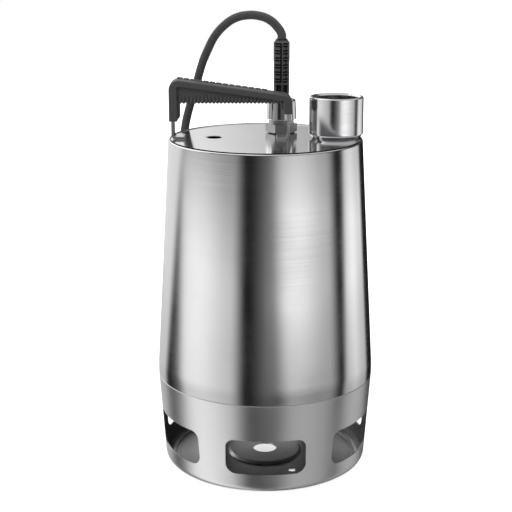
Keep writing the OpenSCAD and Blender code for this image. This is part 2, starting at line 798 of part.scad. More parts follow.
module cable_boot() {
  rib_z = nut_top_z + boot_plain_h;
  taper_z = boot_top_z - boot_tip_h;
  rib_t = rib_pitch * 0.24;
  keel_w = 2;
  keel_sink = 0.1;
  periods = floor((taper_z - rib_z) / rib_pitch);
  color(rubber)
  at_entry(0) {
    disc(boot_d / 2 - 0.4, boot_tail_z, union_top_z + overlap / 2);
    disc(union_d / 2 - loose_gap, union_top_z + nut_gap, union_top_z + boot_flange_h);
    disc(boot_d / 2, union_top_z + overlap, rib_z - 5);
    disc(boot_core_d / 2, union_top_z + overlap, taper_z + overlap);
    around(4, -78) translate([boot_core_d / 2 - overlap, -keel_w / 2, nut_top_z])
      cube([(boot_d - boot_core_d) / 2 + overlap - keel_sink, keel_w, taper_z - nut_top_z]);
    for (k = [0 : periods - 1], second = [0, 1])
      let (z = rib_z + k * rib_pitch + second * rib_pitch * 0.42)
      disc(boot_d / 2 - 0.2, z, z + rib_t);
    disc(boot_d / 2, taper_z - 1.2, taper_z);
    translate([0, 0, taper_z]) cylinder(r1 = boot_d / 2, r2 = boot_d / 2 - boot_tip_bevel, h = boot_tip_h);
  }
}

module connector_well() {
  color(satin) at_entry(0) ring(well_r, spigot_d / 2 + seat_gap, cover_top_z, under_plate_z);
}

// ---------- motor head ----------

module motor_can() {
  color(brushed) ring(can_r, can_in_r, bracket_top_z, cover_z);
}

module motor_cover() {
  color(satin)
  difference() {
    union() {
      disc(can_r, cover_z, cover_top_z);
      disc(register_r, cover_z - cover_register_h, cover_z + overlap);
    }
    disc(register_r - cover_register_w, cover_z - cover_register_h - overlap, cover_z);
    at_entry(cover_z - overlap) cylinder(d = spigot_d - 2, h = cover_t + 2 * overlap);
  }
}

module terminal_block() {
  color(black_plastic)
  translate([entry_x - block_size.x / 2, entry_y - block_size.y / 2, shield_top_z]) cube(block_size);
}

module lead_wires() {
  block_top_z = shield_top_z + block_size.z;
  color(rubber)
  at_entry(block_top_z) for (k = [-1 : 1]) translate([k * wire_pitch, 0, 0])
    cylinder(d = wire_d, h = boot_tail_z - block_top_z);
}

module capacitor() {
  r = capacitor_d / 2;
  color(brushed)
  translate([-capacitor_len / 2, -r - capacitor_off, shield_top_z + r]) rotate([0, 90, 0]) {
    cylinder(r = r, h = capacitor_len - capacitor_step);
    translate([0, 0, capacitor_len - capacitor_step])
      cylinder(r = r - capacitor_step_in, h = capacitor_step);
  }
}

// ---------- bearings ----------

function pitch_r(b) = (b[0] + b[1]) / 4;

module ball_groove(b) {
  torus(pitch_r(b), ball_d / 2 + ball_gap, b[2] / 2);
}

module bearing_outer(b) {
  color(polished) difference() {
    ring(b[1] / 2, pitch_r(b) + shoulder, 0, b[2]);
    ball_groove(b);
  }
}

module bearing_inner(b) {
  color(polished) difference() {
    ring(pitch_r(b) - shoulder, b[0] / 2, 0, b[2]);
    ball_groove(b);
  }
}

module bearing_balls(b) {
  color(brushed) around(ball_count) translate([pitch_r(b), 0, b[2] / 2]) sphere(d = ball_d);
}

module at_low_bearing() {
  translate([0, 0, low_bearing_z]) children();
}

module at_up_bearing() {
  translate([0, 0, up_bearing_z]) children();
}

module upper_shield() {
  seat_r = up_bearing_d / 2 + seat_gap;
  color(iron)
  difference() {
    union() {
      disc(register_r, shield_z, shield_top_z);
      disc(seat_r + cup_wall, up_bearing_z, shield_z + overlap);
    }
    disc(seat_r, up_bearing_z - overlap, up_bearing_top_z);
  }
}

module bearing_plate() {
  seat_r = low_bearing_d / 2 + seat_gap;
  color(iron)
  difference() {
    union() {
      disc(register_r, bearing_plate_z, bearing_plate_z + shield_t);
      disc(seat_r + cup_wall, bearing_plate_z, low_cup_top_z);
    }
    disc(seat_r, low_bearing_z, low_cup_top_z + overlap);
    disc(shaft_d_seal / 2 + shaft_hole_gap, bearing_plate_z - overlap, low_bearing_z + overlap);
  }
}

// ---------- stator and rotor ----------

module slots(w, from, to) {
  around(slot_count) translate([from, -w / 2]) square([to - from, w]);
}

module stator_core() {
  color(iron)
  translate([0, 0, stack_z]) linear_extrude(stack_h) difference() {
    circle(r = register_r);
    circle(d = stator_bore_d);
    slots(slot_w, slot_in_r, slot_out_r);
    slots(slot_mouth_w, stator_bore_d / 2 - overlap, slot_in_r + overlap);
  }
}

module stator_windings() {
  head_gap = 1;
  top = winding_head_h - head_gap;
  color(copper) {
    translate([0, 0, stack_z - 2 * head_gap]) linear_extrude(stack_h + 4 * head_gap)
      slots(slot_w - 2 * loose_gap, slot_in_r + loose_gap, slot_out_r - loose_gap);
    for (z = [stack_z - winding_head_h, stack_top_z + head_gap])
      rotate_extrude() polygon(outline([
        [winding_in_r, z, winding_edge_r], [winding_out_r, z, winding_edge_r],
        [winding_out_r, z + top, winding_edge_r], [winding_in_r, z + top, winding_edge_r]
      ]));
  }
}

module rotor_core() {
  color(iron) ring(rotor_r, shaft_d_rotor / 2 + shaft_gap, stack_z, stack_top_z);
}

module rotor_end_rings() {
  color(brushed)
  for (z = [stack_z - end_ring_h, stack_top_z])
    ring(rotor_r - end_ring_step, rotor_r - end_ring_step - end_ring_w, z, z + end_ring_h);
}

module rotor_shaft() {
  core_seat_z = low_bearing_z + low_bearing_w;
  color(brushed) {
    disc(nut_thread_d / 2, shaft_end_z, impeller_z);
    disc(shaft_d_impeller / 2, impeller_z, impeller_top_z);
    disc(shaft_d_seal / 2, impeller_top_z, low_bearing_z + overlap);
    disc(low_bearing_bore / 2 - shaft_gap, low_bearing_z + loose_gap, core_seat_z);
    disc(shaft_d_rotor / 2, core_seat_z, up_bearing_z);
    disc(up_bearing_bore / 2 - shaft_gap, up_bearing_z, up_bearing_top_z - loose_gap);
  }
}

// ---------- bracket, oil chamber and shaft seal ----------

module bracket() {
  ring_top_z = flange_top_z + bracket_ring_h;
  o_ring_z = bracket_o_ring_z;
  spoke_len = ring_r - can_r + spoke_root + overlap;
  color(iron)
  difference() {
    union() {
      rotate_extrude() polygon([
        [ring_r, flange_top_z], [sleeve_in_r(flange_top_z) - seat_gap, flange_top_z],
        for (z = [cone_z - bend_len, cone_z, cone_z + bend_len]) [sleeve_in_r(z) - seat_gap, z],
        [sleeve_in_r(ring_top_z) - seat_gap, ring_top_z], [ring_r, ring_top_z]
      ]);
      around(spoke_count, 180 / spoke_count)
        translate([can_r - spoke_root, -spoke_w / 2, bracket_z - spoke_h / 2])
          cube([spoke_len, spoke_w, spoke_h]);
      disc(can_r + bracket_edge, bracket_z, bracket_top_z);
      ring(register_r, register_r - bracket_register_w, bracket_top_z - overlap,
           bracket_top_z + bracket_register_h);
    }
    around(casing_screws_n) translate([screw_ring_r, 0, flange_top_z - overlap])
      cylinder(d = casing_screw_d, h = screw_len - flange_t + 2 * overlap);
    disc(seal_bore_r, bracket_z + seal_floor_t, bracket_top_z + overlap);
    disc(shaft_d_seal / 2 + shaft_hole_gap, bracket_z - overlap, bracket_top_z);
    ring(register_r + overlap, register_r - o_ring_depth, o_ring_z - o_ring_w / 2, o_ring_z + o_ring_w / 2);
    translate([oil_screw_r, 0, bracket_z - overlap]) {
      cylinder(d = oil_screw_d, h = bracket_t + 2 * overlap);
      cylinder(d = oil_head_d + 1, h = oil_head_h + 2 * overlap);
    }
  }
}

module bracket_o_ring() {
  color(rubber) torus(register_r - o_ring_depth + o_ring_d / 2 + shaft_gap, o_ring_d / 2, bracket_o_ring_z);
}

module oil_screw() {
  gasket_z = bracket_z + oil_head_h + overlap - gasket_t;
  head_z = gasket_z - oil_head_h + loose_gap;
  color(brushed)
  translate([oil_screw_r, 0, 0]) difference() {
    union() {
      disc(oil_head_d / 2, head_z, gasket_z);
      disc(oil_screw_d / 2 - shaft_gap, gasket_z - overlap, bracket_top_z - loose_gap);
    }
    translate([0, 0, head_z - overlap])
      cylinder(d = oil_screw_socket / cos(30), h = oil_head_h, $fn = 6);
  }
}

module oil_screw_gasket() {
  top_z = bracket_z + oil_head_h + overlap;
  color(copper) translate([oil_screw_r, 0, 0])
    ring(oil_head_d / 2, oil_screw_d / 2 + 2 * shaft_gap, top_z - gasket_t, top_z);
}

module seal_seat() {
  in_r = (shaft_d_seal + shaft_hole_gap) / 2;
  color("white") ring(seal_bore_r - seat_gap, in_r, bracket_z + seal_floor_t, bracket_top_z);
}

module seal_ring() {
  color("dimgray") ring(seal_r, shaft_d_seal / 2 + shaft_gap, seal_z, seal_z + seal_ring_h);
}

module seal_spring() {
  wire_r = seal_spring_wire / 2;
  rings = 8;
  z0 = seal_z + seal_ring_h + wire_r + shaft_gap;
  rise = seal_spring_h - seal_spring_wire;
  line = [for (i = [0 : seal_spring_turns * rings])
    let (t = i / rings, a = 360 * t)
    [seal_spring_r * cos(a), seal_spring_r * sin(a), z0 + rise * t / seal_spring_turns]];
  color(brushed) tube(line, wire_r, 6, [1, 0, 0]);
}

module seal_collar() {
  color(brushed) ring(seal_r, shaft_d_seal / 2 + shaft_gap, seal_collar_z, seal_collar_z + seal_collar_h);
}

// ---------- pump end ----------

module vane() {
  bow_r = impeller_d * 0.42;
  tip = impeller_d / 2 - 1;
  root = impeller_hub_d / 2 - 2;
  centre = [(root + tip) / 2, -sqrt(pow(bow_r, 2) - pow((tip - root) / 2, 2))];
  half = asin((tip - root) / 2 / bow_r);
  polygon([
    each arc(centre, bow_r + vane_t / 2, 90 + half, 90 - half, 10),
    each arc(centre, bow_r - vane_t / 2, 90 - half, 90 + half, 10)
  ]);
}

module impeller() {
  color("slategray")
  difference() {
    union() {
      disc(impeller_d / 2, impeller_top_z - impeller_disc_t, impeller_top_z);
      disc(impeller_hub_d / 2, impeller_z, impeller_top_z);
      translate([0, 0, impeller_z]) linear_extrude(vane_h + overlap) around(vane_count) vane();
    }
    disc(shaft_d_impeller / 2 + shaft_gap, impeller_z - overlap, impeller_top_z + overlap);
  }
}

module impeller_washer() {
  color(brushed) ring(impeller_hub_d / 2 - 1, nut_thread_d / 2 + shaft_gap, impeller_z - washer_t, impeller_z);
}

module impeller_nut() {
  z = impeller_z - washer_t - nut_height;
  color(brushed)
  difference() {
    translate([0, 0, z]) cylinder(d = impeller_nut_af / cos(30), h = nut_height, $fn = 6);
    disc(nut_thread_d / 2 + shaft_gap, z - overlap, z + nut_height + overlap);
  }
}

module pump_casing() {
  in_r = casing_r - casing_wall;
  register_z = strainer_h - register_h;
  register_top_r = strainer_in_r(strainer_h) - loose_gap;
  register_low_r = strainer_in_r(register_z) - loose_gap;
  o_ring_z = flange_z + flange_t / 2;
  color(iron)
  difference() {
    rotate_extrude() polygon([
      [eye_d / 2, casing_floor_z],
      each corner([eye_d / 2, casing_floor_z], [casing_r, casing_floor_z], [casing_r, flange_z],
                  casing_bend_r),
      [casing_r, flange_z], [register_low_r - register_w, flange_z],
      [register_low_r - register_w, register_z], [register_low_r, register_z],
      [register_top_r, strainer_h], [register_top_r, flange_z],
      [sleeve_in_r(flange_z) - loose_gap, flange_z],
      [sleeve_in_r(flange_top_z) - loose_gap, flange_top_z], [in_r, flange_top_z],
      each corner([in_r, flange_top_z], [in_r, casing_floor_z + casing_wall],
                  [eye_d / 2, casing_floor_z + casing_wall], casing_bend_r - casing_wall),
      [eye_d / 2, casing_floor_z + casing_wall]
    ]);
    around(casing_screws_n) translate([screw_ring_r, 0, flange_z - overlap])
      cylinder(d = casing_screw_d + 0.4, h = flange_t + 2 * overlap);
    ring(body_d / 2, sleeve_in_r(o_ring_z) - loose_gap - o_ring_depth,
         o_ring_z - o_ring_w / 2, o_ring_z + o_ring_w / 2);
  }
}

module casing_o_ring() {
  z = flange_z + flange_t / 2;
  color(rubber) torus(sleeve_in_r(z) - loose_gap - o_ring_depth + o_ring_d / 2 + shaft_gap, o_ring_d / 2, z);
}

module casing_screws() {
  color(brushed)
  around(casing_screws_n) translate([screw_ring_r, 0, flange_z - screw_head_h]) {
    cylinder(d = screw_head_af / cos(30), h = screw_head_h, $fn = 6);
    cylinder(d = casing_screw_d - 2 * shaft_gap, h = screw_head_h + screw_len);
  }
}

// ---------- strainer ----------

// a window with round corners, made of squares and true circles
module window_shape() {
  half = window_w / 2;
  translate([-half, window_r_low]) square([window_w, window_h - window_r_low - window_r_high]);
  translate([-half + window_r_low, 0]) square([window_w - 2 * window_r_low, window_r_low + overlap]);
  translate([-half + window_r_high, window_h - window_r_high - overlap])
    square([window_w - 2 * window_r_high, window_r_high + overlap]);
  for (side = [-1, 1]) {
    translate([side * (half - window_r_low), window_r_low]) circle(r = window_r_low);
    translate([side * (half - window_r_high), window_h - window_r_high]) circle(r = window_r_high);
  }
}

module strainer_basket() {
  top_bevel = 0.4;
  low_in_r = strainer_edge_r - strainer_wall;
  lip_z = foot_h + strainer_wall;
  window_reach = 40;
  color(satin)
  difference() {
    rotate_extrude() polygon([
      [base_r + shaft_gap, foot_h],
      each corner([base_r, foot_h], [strainer_r(foot_h), foot_h], [strainer_r(strainer_h), strainer_h],
                  strainer_edge_r),
      [strainer_r(strainer_h - top_bevel), strainer_h - top_bevel],
      [strainer_r(strainer_h) - top_bevel, strainer_h],
      [strainer_in_r(strainer_h), strainer_h],
      each corner([strainer_in_r(strainer_h), strainer_h], [strainer_in_r(lip_z), lip_z],
                  [base_r, lip_z], low_in_r),
      [base_r + shaft_gap, lip_z]
    ]);
    around(window_count, -90) translate([body_d / 2 - 0.75 * window_reach, 0, window_z])
      rotate([90, 0, 90]) linear_extrude(window_reach) window_shape();
  }
}

module base_plate() {
  t = strainer_wall;
  step = 0.5;
  disc_r = base_disc_d / 2;
  raised = foot_h + base_disc_h;
  ring_in = foot_ring_r - foot_ring_w;
  color(satin)
  difference() {
    rotate_extrude() polygon([
      [base_hole_d / 2, raised], [disc_r - base_disc_h, raised], [disc_r, foot_h], [ring_in - step, foot_h],
      [ring_in, 0], [foot_ring_r, 0], [foot_ring_r + step, foot_h], [base_r, foot_h],
      [base_r, foot_h + t], [foot_ring_r, foot_h + t], [foot_ring_r - step, t], [ring_in + step, t],
      [ring_in, foot_h + t], [disc_r + t / 2, foot_h + t], [disc_r + t / 2 - base_disc_h, raised + t],
      [base_hole_d / 2, raised + t]
    ]);
    around(3, -62) translate([fixing_circle_d / 2, 0, -overlap])
      cylinder(d = fixing_d, h = foot_h + t + 2 * overlap);
  }
}

// ---------- cable ----------

module cable_drop() {
  color(rubber) tube(drop_route, cable_r, 10, [0, 1, 0]);
}

module cable_coil() {
  color(rubber) tube(coil_line, cable_r, 6, [0, 0, 1]);
}

module cable_tail() {
  color(rubber) tube(tail_route, cable_r, 10, [0, 0, 1]);
}

module coil_ties() {
  in_r = coil_in_r - loose_gap;
  out_r = coil_r + cable_r + loose_gap;
  low = tie_t;
  high = coil_top_z + loose_gap;
  color(black_plastic)
  translate([coil_at.x, coil_at.y, 0]) for (a = tie_angles) rotate(a) difference() {
    translate([in_r - tie_t, -tie_w / 2, 0]) cube([out_r - in_r + 2 * tie_t, tie_w, high + tie_t]);
    translate([in_r, -tie_w, low]) cube([out_r - in_r, 2 * tie_w, high - low]);
  }
}

module along_plug() {
  translate(plug_back) rotate([0, 90, 0]) children();
}

module plug_body() {
  face_r = plug_d / 2;
  waist_z = plug_sleeve_len + plug_len * 0.55;
  end_z = plug_sleeve_len + plug_len;
  color(rubber)
  along_plug() rotate_extrude() polygon(outline([
    [0, 0, 0], [cable_r + 1.2, 0, 0.5], [7.5, plug_sleeve_len, 0], [12.5, plug_sleeve_len + 0.5, 3],
    [16, waist_z, 4], [face_r, waist_z + 5, 2], [face_r, end_z, 1.5], [0, end_z, 0]
  ]));
}

module plug_pins() {
  color(brushed)
  along_plug() for (side = [-1, 1]) translate([0, side * 9.5, plug_sleeve_len + plug_len]) {
    cylinder(d = pin_d, h = pin_len - pin_d / 2);
    translate([0, 0, pin_len - pin_d / 2]) sphere(d = pin_d);
  }
}

outer_sleeve();
top_plate();
discharge_socket();
handle_strap();
handle_grip();
vent_seat();
vent_ball();
connector_seal();
connector_body();
union_nut();
cable_boot();
connector_well();
motor_can();
motor_cover();
terminal_block();
lead_wires();
capacitor();
upper_shield();
at_up_bearing() bearing_outer(up_bearing);  // upper_bearing_outer
at_up_bearing() bearing_inner(up_bearing);  // upper_bearing_inner
at_up_bearing() bearing_balls(up_bearing);  // upper_bearing_balls
stator_core();
stator_windings();
rotor_core();
rotor_end_rings();
rotor_shaft();
bearing_plate();
at_low_bearing() bearing_outer(low_bearing);  // lower_bearing_outer
at_low_bearing() bearing_inner(low_bearing);  // lower_bearing_inner
at_low_bearing() bearing_balls(low_bearing);  // lower_bearing_balls
bracket();
bracket_o_ring();
oil_screw();
oil_screw_gasket();
seal_seat();
seal_ring();
seal_spring();
seal_collar();
impeller();
impeller_washer();
impeller_nut();
pump_casing();
casing_o_ring();
casing_screws();
strainer_basket();
base_plate();
cable_drop();
cable_coil();
cable_tail();
coil_ties();
plug_body();
plug_pins();
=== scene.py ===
# The looks of the submersible sump pump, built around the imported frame. The camera, the lamps and the
# floor are in metres, and the forms of the pieces in millimetres, which MM turns into metres.
import json
import math

import bmesh
import bpy
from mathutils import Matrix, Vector


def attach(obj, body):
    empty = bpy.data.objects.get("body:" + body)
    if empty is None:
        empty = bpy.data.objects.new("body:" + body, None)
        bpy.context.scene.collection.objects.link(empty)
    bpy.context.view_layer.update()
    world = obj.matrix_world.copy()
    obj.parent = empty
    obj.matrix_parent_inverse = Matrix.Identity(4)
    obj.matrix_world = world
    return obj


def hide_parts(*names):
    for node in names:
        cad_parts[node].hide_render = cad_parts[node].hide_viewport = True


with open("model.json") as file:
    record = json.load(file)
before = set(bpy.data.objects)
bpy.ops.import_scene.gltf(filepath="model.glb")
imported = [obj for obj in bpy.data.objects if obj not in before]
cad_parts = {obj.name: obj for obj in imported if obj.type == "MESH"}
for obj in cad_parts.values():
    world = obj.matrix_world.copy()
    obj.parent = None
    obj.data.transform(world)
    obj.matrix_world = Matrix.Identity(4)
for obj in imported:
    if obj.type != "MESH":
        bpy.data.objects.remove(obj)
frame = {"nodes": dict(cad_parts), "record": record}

MM = 0.001
nodes = frame["nodes"]
scene = bpy.context.scene
scene.view_settings.view_transform = "Standard"
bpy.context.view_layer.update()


# ---------- camera ----------

CAMERA_AT = (-0.00924, -1.1858, 0.5238)
CAMERA_PITCH = 14.8

camera_data = bpy.data.cameras.new("camera")
camera_data.sensor_width = 36.0
camera_data.lens = 86.34
camera = bpy.data.objects.new("camera", camera_data)
camera.location = CAMERA_AT
camera.rotation_euler = (math.radians(90 - CAMERA_PITCH), 0.0, 0.0)
scene.collection.objects.link(camera)
scene.camera = camera


# ---------- cable ----------

CABLE_D = 8.5
CABLE_EXIT = (16.0, 35.0, 422.1)
COIL_AT = (0.0, 216.0)
COIL_R = 98.0
COIL_STEP = 9.1
COIL_Z = 5.75
COIL_TURNS = 19
LAYER_TURNS = 4.75
TURN_POINTS = 20

# out of the boot, over in an arc, down behind the handle and the rim, and back to the coil
DROP = [
    CABLE_EXIT, (16, 35, 426.1), (11.5, 35.5, 433.5), (3.5, 36.5, 440.5), (-6.5, 38, 444),
    (-18, 39.5, 444.5), (-30, 41, 441.5), (-41, 43, 434), (-50.5, 45.5, 423), (-57, 48, 410.5),
    (-62, 50, 399), (-65.5, 51.5, 388.5), (-68.5, 53, 378), (-75.5, 55.5, 355.5), (-81.5, 58, 331),
    (-83.5, 61, 305), (-86, 67, 255), (-87, 72.5, 205), (-87, 77, 155), (-87, 81, 105),
    (-87.5, 84, 80), (-88, 89, 58), (-89, 97, 38), (-91, 109, 22), (-93, 125, 11), (-95, 143, 6),
    (-96.5, 163, 5), (-98, 182, 5.5), (-98, 199, 5.75), (-98, 207.5, 5.75),
]
# off the top of the coil and down to the plug
TAIL = [
    (-98, 228.75, 33.05), (-95.5, 239, 35.5), (-90, 252, 39), (-80, 266, 44), (-66, 278, 49.5),
    (-50, 286, 54), (-37, 289.5, 56.5), (-28.25, 290, 57), (-24, 290, 57),
]


def layer_of(turn):
    """How many layers up the coil is at this turn: it climbs over half a turn between layers."""
    climbed = 0.0
    for k in range(1, 4):
        x = min(max(2 * (turn - k * LAYER_TURNS) + 0.5, 0.0), 1.0)
        climbed += x * x * (3 - 2 * x)
    return climbed


def coil_point(turn):
    around = turn % (2 * LAYER_TURNS)
    inward = around if around < LAYER_TURNS else 2 * LAYER_TURNS - around
    r = COIL_R - COIL_STEP * inward
    angle = math.radians(180 - 360 * turn)
    return (COIL_AT[0] + r * math.cos(angle), COIL_AT[1] + r * math.sin(angle),
            COIL_Z + COIL_STEP * layer_of(turn))


coil = [coil_point(k / TURN_POINTS) for k in range(TURN_POINTS * COIL_TURNS + 1)]
route = DROP + coil + [(-98, 224.5, 33.05)] + TAIL

cable_curve = bpy.data.curves.new("cable", "CURVE")
cable_curve.dimensions = "3D"
cable_curve.bevel_depth = CABLE_D / 2
cable_curve.bevel_resolution = 4
cable_curve.resolution_u = 4
cable_curve.use_fill_caps = True
spline = cable_curve.splines.new("BEZIER")
spline.bezier_points.add(len(route) - 1)
for knot, point in zip(spline.bezier_points, route):
    knot.co = Vector(point) * MM
    knot.radius = MM
    knot.handle_left_type = knot.handle_right_type = "AUTO"
cable = bpy.data.objects.new("cable", cable_curve)
scene.collection.objects.link(cable)
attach(cable, "pump")
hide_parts("cable_drop", "cable_coil", "cable_tail")


# ---------- node trees ----------

class Tree:
    """Short calls for building a node tree."""

    def __init__(self, tree):
        self.tree = tree
        tree.nodes.clear()

    def node(self, kind, inputs=None, **settings):
        made = self.tree.nodes.new(kind)
        for name, value in settings.items():
            setattr(made, name, value)
        for name, value in (inputs or {}).items():
            self.set(made, name, value)
        return made

    def set(self, node, name, value):
        if isinstance(value, bpy.types.NodeSocket):
            self.tree.links.new(value, node.inputs[name])
        else:
            node.inputs[name].default_value = value

    def math(self, operation, *values, clamp=False):
        made = self.node("ShaderNodeMath", operation=operation, use_clamp=clamp)
        for k, value in enumerate(values):
            self.set(made, k, value)
        return made.outputs[0]

    def fade(self, value, start, end, low=0.0, high=1.0):
        """low before start, high after end, and smooth between them."""
        made = self.node("ShaderNodeMapRange", {0: value, 1: start, 2: end, 3: low, 4: high},
                         interpolation_type="SMOOTHSTEP")
        return made.outputs[0]


# ---------- studio ----------

# the elevation at which the boxes have their written width, and how far below and above it they lean
EVEN_AT = -8.0
LEAN_WITHIN = (-10.0, 3.0)
# Soft boxes round the pump, as what polished metal sees: azimuth in degrees from the camera's side
# towards the right, half their width, how softly they end, their brightness, their row below, and how
# far their two ends lean, in degrees for each degree of elevation above EVEN_AT.
SOFT_BOXES = [
    ("left box", -71, 41, 9, 0.66, "left", (-1.3, 0.0)),
    ("left box, hot middle", -80, 24, 22, 0.38, "left", (0.0, 0.0)),
    ("left rear wall", -148, 31, 7, 0.74, "left rear", (0.0, 1.6)),
    ("front fill", 2, 9, 12, 0.17, "right", (0.0, 0.0)),
    ("right box", 46.75, 33.25, 9, 0.60, "right", (-0.8, 0.0)),
    ("right box, hot middle", 34, 20, 20, 0.44, "right hot", (0.0, 0.0)),
    ("right rear strip", 119, 20, 5, 0.74, "right rear", (0.6, 0.0)),
    ("right rear strip, hot edge", 113, 8, 10, 0.3, "right rear", (0.0, 0.0)),
]
# how bright each row is by elevation in degrees
BY_ELEVATION = {
    "left": [(-90, 0.9), (-29, 1.06), (-21, 0.55), (-14, 0.95), (-9, 1.08), (-4.5, 0.36), (0, 0.25),
             (90, 0.5)],
    "left rear": [(-90, 0.4), (-26, 0.62), (-20, 0.7), (-16, 0.85), (-12, 1.05), (-6, 1.05), (0, 0.55),
                  (90, 0.5)],
    "right": [(-90, 0.5), (-30, 0.62), (-21, 0.34), (-12.5, 0.66), (-8.3, 1.3), (-4, 0.42), (0, 0.3),
              (90, 0.5)],
    "right hot": [(-90, 0.3), (-30, 0.2), (-21, 0.0), (-14, 0.1), (-8.3, 2.0), (-4, 0.5), (0, 0.3),
                  (90, 0.5)],
    "right rear": [(-90, 0.4), (-26, 0.44), (-21, 0.5), (-15, 0.75), (-10.7, 1.15), (-6.5, 0.72), (0, 0.5),
                   (90, 0.5)],
}
DARK = 0.012
# what surfaces see that look upwards: a sweep at the back and left, and the ceiling
REAR_SWEEP = (-130, 50, 12)
REAR_SWEEP_LEVEL = 1.2
HIGH_DARK = 0.06
CEILING = (24.0, 46.0)
CEILING_LEVEL = 0.62
LOW_TO_HIGH = (5.5, 8.4)
# what matt surfaces see
AMBIENT = 0.62


def azimuth_window(t, azimuth, above, centre, half, soft, leans=(0.0, 0.0)):
    """1 between two soft ends, which lean with the elevation above EVEN_AT."""
    along = t.math("WRAP", t.math("SUBTRACT", azimuth, centre), 180.0, -180.0)
    first = t.math("SUBTRACT", along, t.math("MULTIPLY_ADD", above, leans[0], -half))
    last = t.math("SUBTRACT", along, t.math("MULTIPLY_ADD", above, leans[1], half))
    return t.math("MULTIPLY", t.fade(first, -soft, soft), t.fade(last, -soft, soft, 1.0, 0.0))


def by_height(t, elevation, stops):
    """A brightness by elevation in degrees, from a few stops of (elevation, brightness)."""
    ramp = t.node("ShaderNodeValToRGB",
                  {0: t.math("MULTIPLY_ADD", elevation, 1 / 180, 0.5)})
    ramp.color_ramp.interpolation = "EASE"
    marks = ramp.color_ramp.elements
    while len(marks) < len(stops):
        marks.new(0.5)
    for mark, (at, level) in zip(marks, stops):
        mark.position = at / 180 + 0.5
        mark.color = (level, level, level, 1.0)
    return ramp.outputs[0]


world = bpy.data.worlds.new("studio")
scene.world = world
world.use_nodes = True
world.cycles.sampling_method = "NONE"
t = Tree(world.node_tree)
direction = t.node("ShaderNodeSeparateXYZ",
                   {0: t.node("ShaderNodeTexCoord").outputs["Generated"]}).outputs
azimuth = t.math("MULTIPLY", t.math("ARCTAN2", direction[0], t.math("MULTIPLY", direction[1], -1.0)),
                 180 / math.pi)
elevation = t.math("MULTIPLY", t.math("ARCSINE", direction[2]), 180 / math.pi)
above = t.math("MAXIMUM", t.math("MINIMUM", t.math("SUBTRACT", elevation, EVEN_AT), LEAN_WITHIN[1]),
               LEAN_WITHIN[0])
gains = {row: by_height(t, elevation, stops) for row, stops in BY_ELEVATION.items()}
low_world = DARK
for _, centre, half, soft, level, row, leans in SOFT_BOXES:
    box = t.math("MULTIPLY", azimuth_window(t, azimuth, above, centre, half, soft, leans), level)
    low_world = t.math("ADD", low_world, t.math("MULTIPLY", box, gains[row]))
sweep = t.math("MULTIPLY_ADD", azimuth_window(t, azimuth, above, *REAR_SWEEP), REAR_SWEEP_LEVEL,
               HIGH_DARK)
ceiling = t.fade(elevation, *CEILING, 0.0, CEILING_LEVEL)
high_world = t.math("MAXIMUM", sweep, ceiling)
is_high = t.fade(elevation, *LOW_TO_HIGH)
seen_in_gloss = t.node("ShaderNodeMix", {0: is_high, 2: low_world, 3: high_world}).outputs[0]
path = t.node("ShaderNodeLightPath").outputs
straight = t.math("MAXIMUM", path["Is Camera Ray"], path["Is Transmission Ray"])
strength = t.node("ShaderNodeMix", {0: path["Is Glossy Ray"], 2: AMBIENT, 3: seen_in_gloss}).outputs[0]
strength = t.node("ShaderNodeMix", {0: straight, 2: strength, 3: 1.0}).outputs[0]
background = t.node("ShaderNodeBackground", {"Color": (1, 1, 1, 1), "Strength": strength})
t.node("ShaderNodeOutputWorld", {"Surface": background.outputs[0]})

# name, place, size and watts; both look at the middle of the pump
LAMPS = [("key", (-0.9, -1.1, 2.1), 1.4, 17.0), ("top", (0.5, 0.6, 2.3), 1.6, 16.0)]
LAMPS_LOOK_AT = (0, 0, 0.2)
for name, at, size, watts in LAMPS:
    lamp_data = bpy.data.lights.new(name, "AREA")
    lamp_data.size = size
    lamp_data.energy = watts
    lamp = bpy.data.objects.new(name, lamp_data)
    lamp.location = at
    lamp.rotation_euler = (Vector(LAMPS_LOOK_AT) - Vector(at)).to_track_quat("-Z", "Y").to_euler()
    lamp.visible_glossy = False
    scene.collection.objects.link(lamp)

FLOOR_HALF = 4.0
FLOOR_GREY = 0.86
# how much white the camera sees added to the floor: near the pump, and further out
WHITE_NEAR, WHITE_FAR = 0.68, 1.1
WHITENS_OVER = (0.3, 0.9)
floor_mesh = bpy.data.meshes.new("floor")
floor_mesh.from_pydata([(-FLOOR_HALF, -FLOOR_HALF, 0), (FLOOR_HALF, -FLOOR_HALF, 0),
                        (FLOOR_HALF, FLOOR_HALF, 0), (-FLOOR_HALF, FLOOR_HALF, 0)], [], [(0, 1, 2, 3)])
floor = bpy.data.objects.new("floor", floor_mesh)
scene.collection.objects.link(floor)
floor.visible_glossy = False
floor_paint = bpy.data.materials.new("floor_paper")
floor_paint.use_nodes = True
t = Tree(floor_paint.node_tree)
paper = t.node("ShaderNodeBsdfDiffuse", {"Color": (FLOOR_GREY, FLOOR_GREY, FLOOR_GREY, 1)})
from_pump = t.node("ShaderNodeVectorMath", {0: t.node("ShaderNodeTexCoord").outputs["Object"]},
                   operation="LENGTH").outputs["Value"]
seen_white = t.fade(from_pump, *WHITENS_OVER, WHITE_NEAR, WHITE_FAR)
lift = t.node("ShaderNodeEmission",
              {"Strength": t.math("MULTIPLY", t.node("ShaderNodeLightPath").outputs["Is Camera Ray"],
                                  seen_white)})
both = t.node("ShaderNodeAddShader", {0: paper.outputs[0], 1: lift.outputs[0]})
t.node("ShaderNodeOutputMaterial", {"Surface": both.outputs[0]})
floor_mesh.materials.append(floor_paint)


# ---------- materials ----------

PATCHES = 14.0


